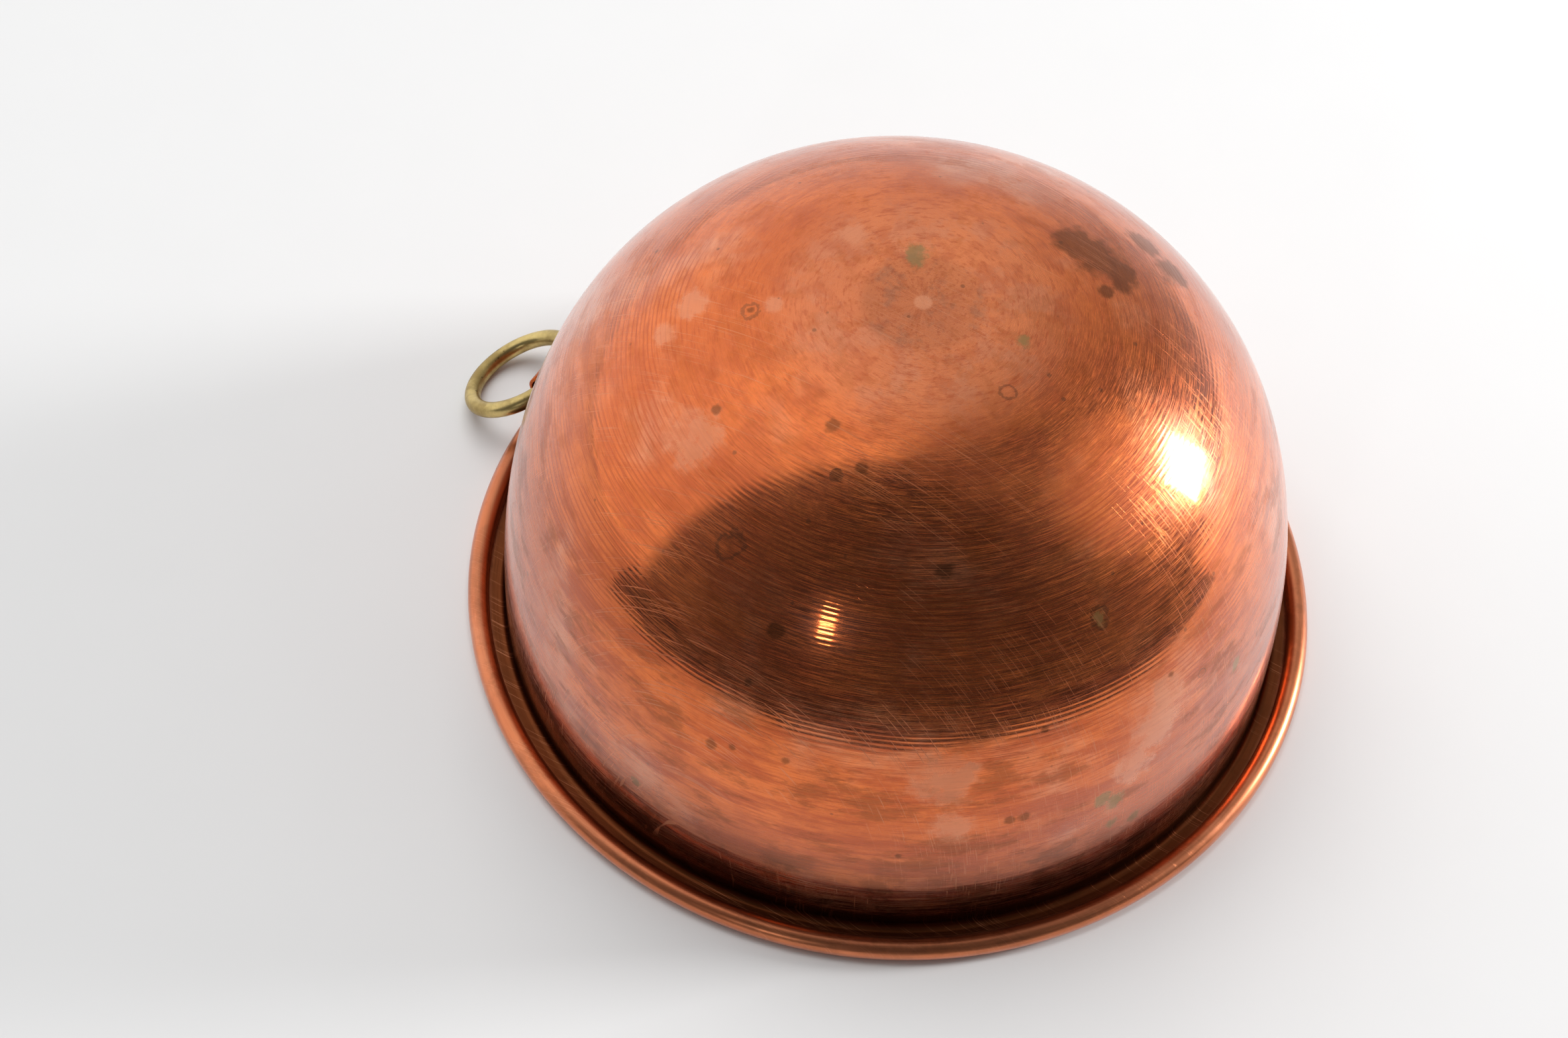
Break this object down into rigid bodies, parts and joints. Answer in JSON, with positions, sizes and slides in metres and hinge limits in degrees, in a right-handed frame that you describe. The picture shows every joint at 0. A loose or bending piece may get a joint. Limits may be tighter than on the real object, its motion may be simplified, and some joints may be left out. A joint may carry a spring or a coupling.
{
  "type": "mixing bowl",
  "caption": "Round-bottomed spun copper mixing bowl with a rolled wired rim and a brass hanging ring that swings in a folded, riveted copper lug.",
  "frame": {"origin": "centre of the circle that the rolled rim rests on, with the bowl stored upside down", "axes": "+Z from the rim up to the small flat in the middle of the bowl's bottom; -X towards the hanging ring; XZ is the plane of symmetry"},
  "size_m": [0.2848, 0.26, 0.1371],
  "materials": {
    "copper": "spun and polished copper, aged",
    "steel_wire": "drawn steel wire",
    "lug_copper": "satin copper strip",
    "rivet_copper": "hammered copper",
    "brass": "aged brass, cast and tumbled"
  },
  "bodies": {
    "bowl": {"bowl_shell": "copper", "rim_wire": "steel_wire", "ring_lug": "lug_copper", "rivet_left": "rivet_copper", "rivet_right": "rivet_copper"},
    "ring": {"hanging_ring": "brass"}
  },
  "joints": [
    {"name": "ring_swing", "type": "hinge", "parent": "bowl", "child": "ring", "pos_m": [-0.12329, 0, 0.0209], "axis": [0, 1, 0], "range_deg": [-30, 131]}
  ]
}
